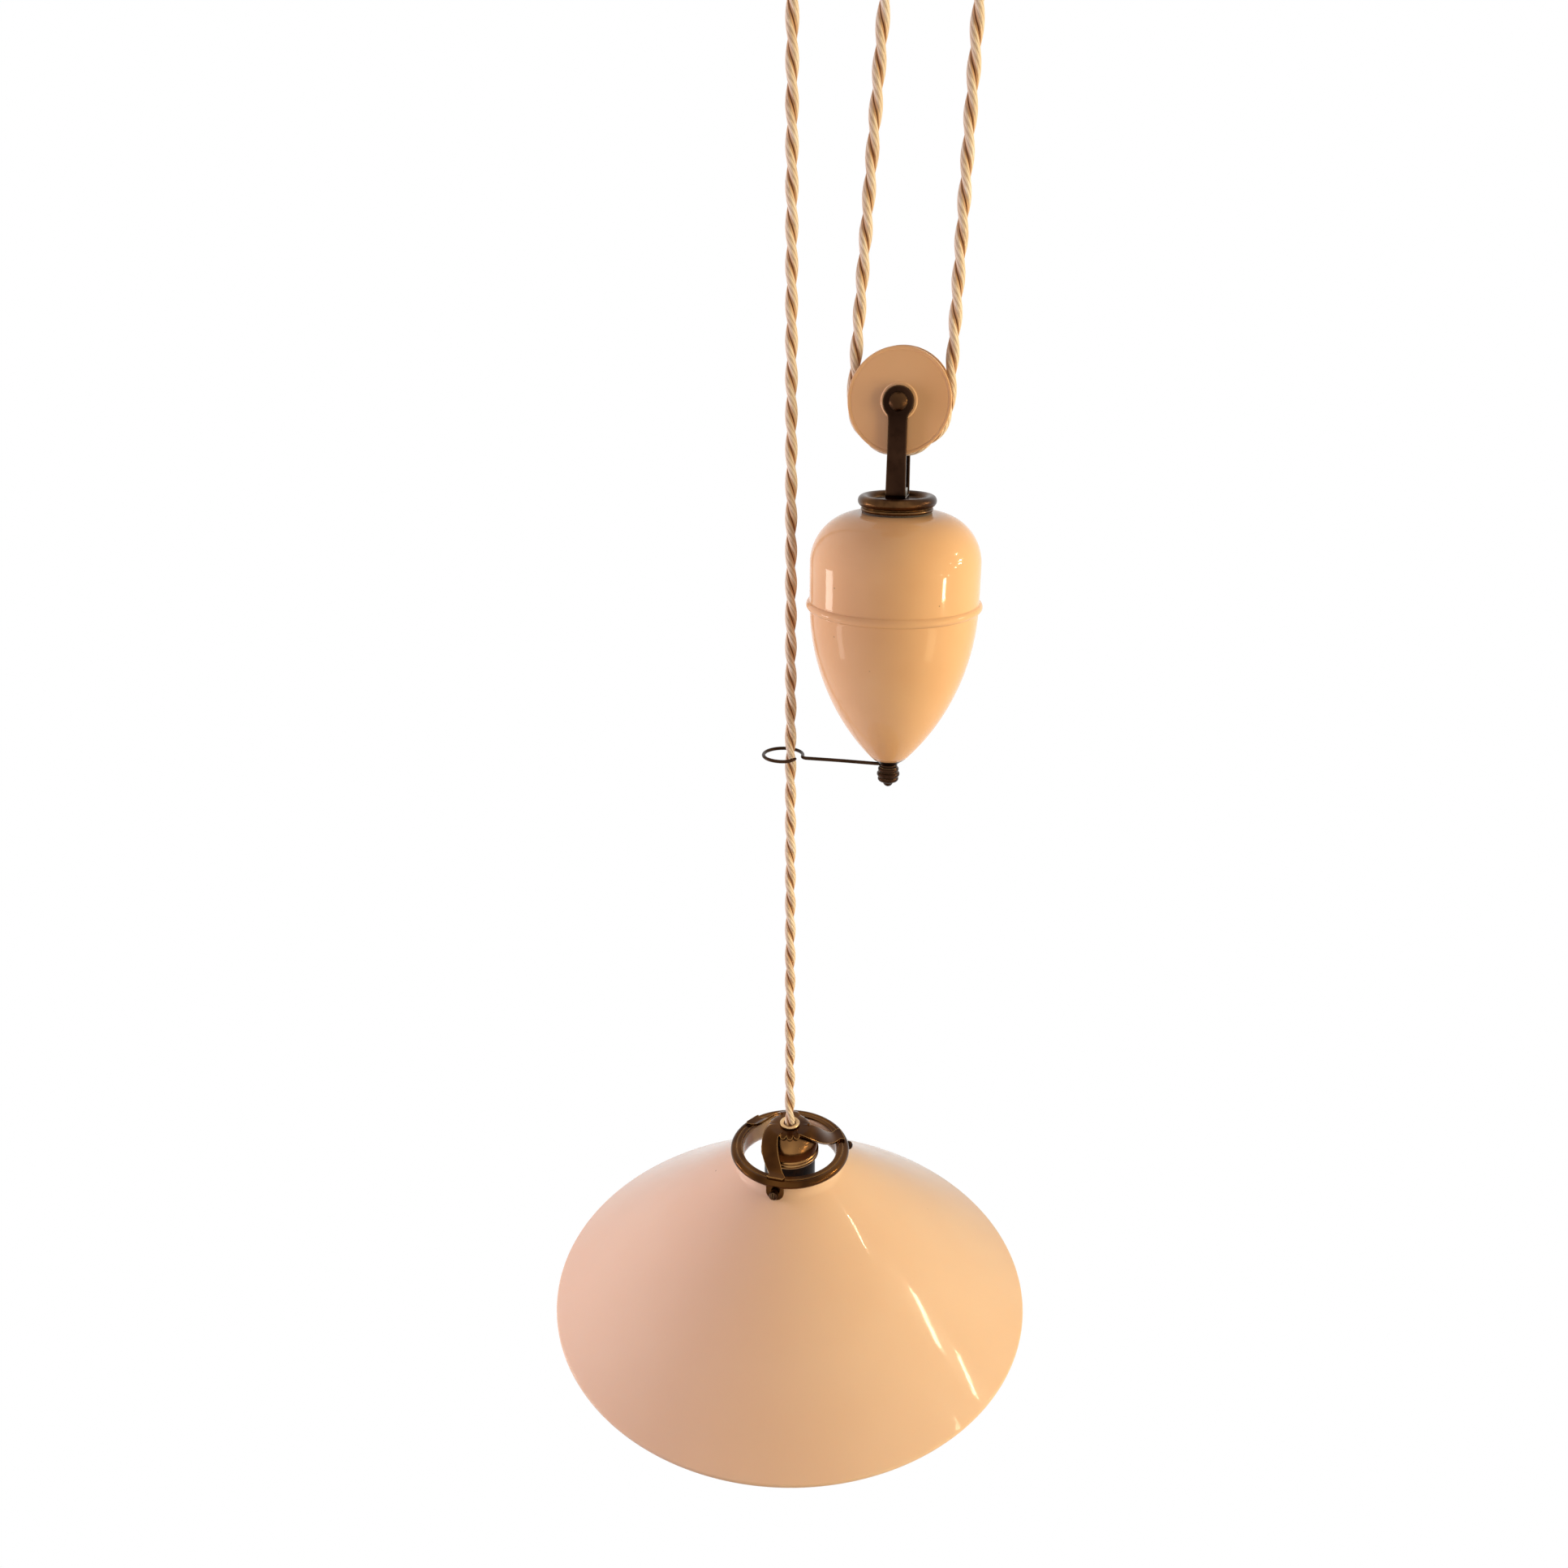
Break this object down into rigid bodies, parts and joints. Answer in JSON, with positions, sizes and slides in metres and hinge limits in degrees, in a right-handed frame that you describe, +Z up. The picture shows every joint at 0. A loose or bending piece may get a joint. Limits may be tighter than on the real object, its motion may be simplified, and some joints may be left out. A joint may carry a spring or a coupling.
{
  "type": "rise and fall pendant",
  "caption": "Ceiling pendant with a conical opal shade on a twisted cord, raised and lowered on pulleys against a porcelain counterweight.",
  "frame": {"origin": "on the ceiling plane at the middle of the rose, between its two fixing holes", "axes": "+Z up into the ceiling, the cords hang in the XZ plane with the counterweight towards +X, the picture looks along +Y"},
  "size_m": [0.2857, 0.2858, 0.7764],
  "materials": {
    "galvanised_steel": "dull zinc",
    "antique_brass": "dark patina, rubbed golden on the edges",
    "polished_brass": "turned and polished",
    "cream_porcelain": "gloss glaze",
    "white_porcelain": "gloss glaze",
    "opal_glass": "gloss, milky",
    "ivory_cord": "braided silk on each core",
    "dark_bakelite": "satin",
    "iron_shot": "raw",
    "felt": "soft"
  },
  "bodies": {
    "rose": {"ceiling_bracket": "galvanised_steel", "canopy": "antique_brass", "block_bolt": "galvanised_steel", "block_nuts": "galvanised_steel", "block_yoke": "antique_brass", "block_axle": "antique_brass", "block_washers": "polished_brass", "cord_grip": "polished_brass", "grip_nut": "polished_brass", "terminal_block": "white_porcelain", "terminal_screws": "polished_brass", "terminal_fixing": "galvanised_steel", "anchor_tail": "ivory_cord", "ceiling_bend": "ivory_cord", "left_strand": "ivory_cord", "right_strand": "ivory_cord", "lamp_strand": "ivory_cord"},
    "block_wheel": {"block_pulley": "cream_porcelain"},
    "weight": {"weight_bend": "ivory_cord", "weight_axle": "antique_brass", "weight_washers": "polished_brass", "weight_yoke": "antique_brass", "rod_nut": "galvanised_steel", "weight_rod": "galvanised_steel", "weight_cap": "antique_brass", "cap_felt": "felt", "weight_body": "cream_porcelain", "weight_ballast": "iron_shot", "finial_cup": "antique_brass", "guide_wire": "antique_brass", "finial_nut": "antique_brass"},
    "weight_wheel": {"weight_pulley": "cream_porcelain"},
    "lamp": {"cord_bush": "polished_brass", "holder_nipple": "polished_brass", "holder_locknut": "polished_brass", "gallery_spider": "antique_brass", "gallery_ring": "antique_brass", "shade": "opal_glass", "holder_dome": "antique_brass", "holder_barrel": "dark_bakelite", "holder_insert": "white_porcelain", "holder_terminals": "polished_brass", "holder_socket": "polished_brass", "holder_ring": "dark_bakelite", "lamp_tail": "ivory_cord"},
    "screw_1": {"shade_screw_1": "antique_brass"},
    "screw_2": {"shade_screw_2": "antique_brass"},
    "screw_3": {"shade_screw_3": "antique_brass"},
    "contacts": {"contact_pins": "polished_brass"}
  },
  "joints": [
    {"name": "lamp_slide", "type": "slide", "parent": "rose", "child": "lamp", "axis": [0, 0, 1], "range_m": [-0.18, 0.13], "deforming": ["lamp_strand"]},
    {"name": "weight_slide", "type": "slide", "parent": "rose", "child": "weight", "axis": [0, 0, 1], "range_m": [-0.066, 0.091], "deforming": ["left_strand", "right_strand"]},
    {"name": "block_pulley_spin", "type": "hinge", "parent": "rose", "child": "block_wheel", "pos_m": [-0.019, 0, -0.058], "axis": [0, 1, 0], "range_deg": [-512, 372]},
    {"name": "weight_pulley_spin", "type": "hinge", "parent": "weight", "child": "weight_wheel", "pos_m": [0.0115, 0, -0.25], "axis": [0, 1, 0], "range_deg": [-175, 240]},
    {"name": "shade_screw_1_turn_out", "type": "slide", "parent": "lamp", "child": "screw_1", "axis": [0.891, 0.454, 0], "range_m": [0, 0.004]},
    {"name": "shade_screw_2_turn_out", "type": "slide", "parent": "lamp", "child": "screw_2", "axis": [-0.8387, 0.5446, 0], "range_m": [0, 0.004]},
    {"name": "shade_screw_3_turn_out", "type": "slide", "parent": "lamp", "child": "screw_3", "axis": [-0.0523, -0.9986, 0], "range_m": [0, 0.004]},
    {"name": "contact_press", "type": "slide", "parent": "lamp", "child": "contacts", "axis": [0, 0, 1], "range_m": [0, 0.003], "stiffness_N_per_m": 300, "springref_m": -0.002}
  ],
  "couplings": [
    {"joint": "weight_slide", "follows": "lamp_slide", "ratio": -0.5},
    {"joint": "block_pulley_spin", "follows": "lamp_slide", "rad_per_m": 48.781},
    {"joint": "weight_pulley_spin", "follows": "lamp_slide", "rad_per_m": -22.523}
  ]
}
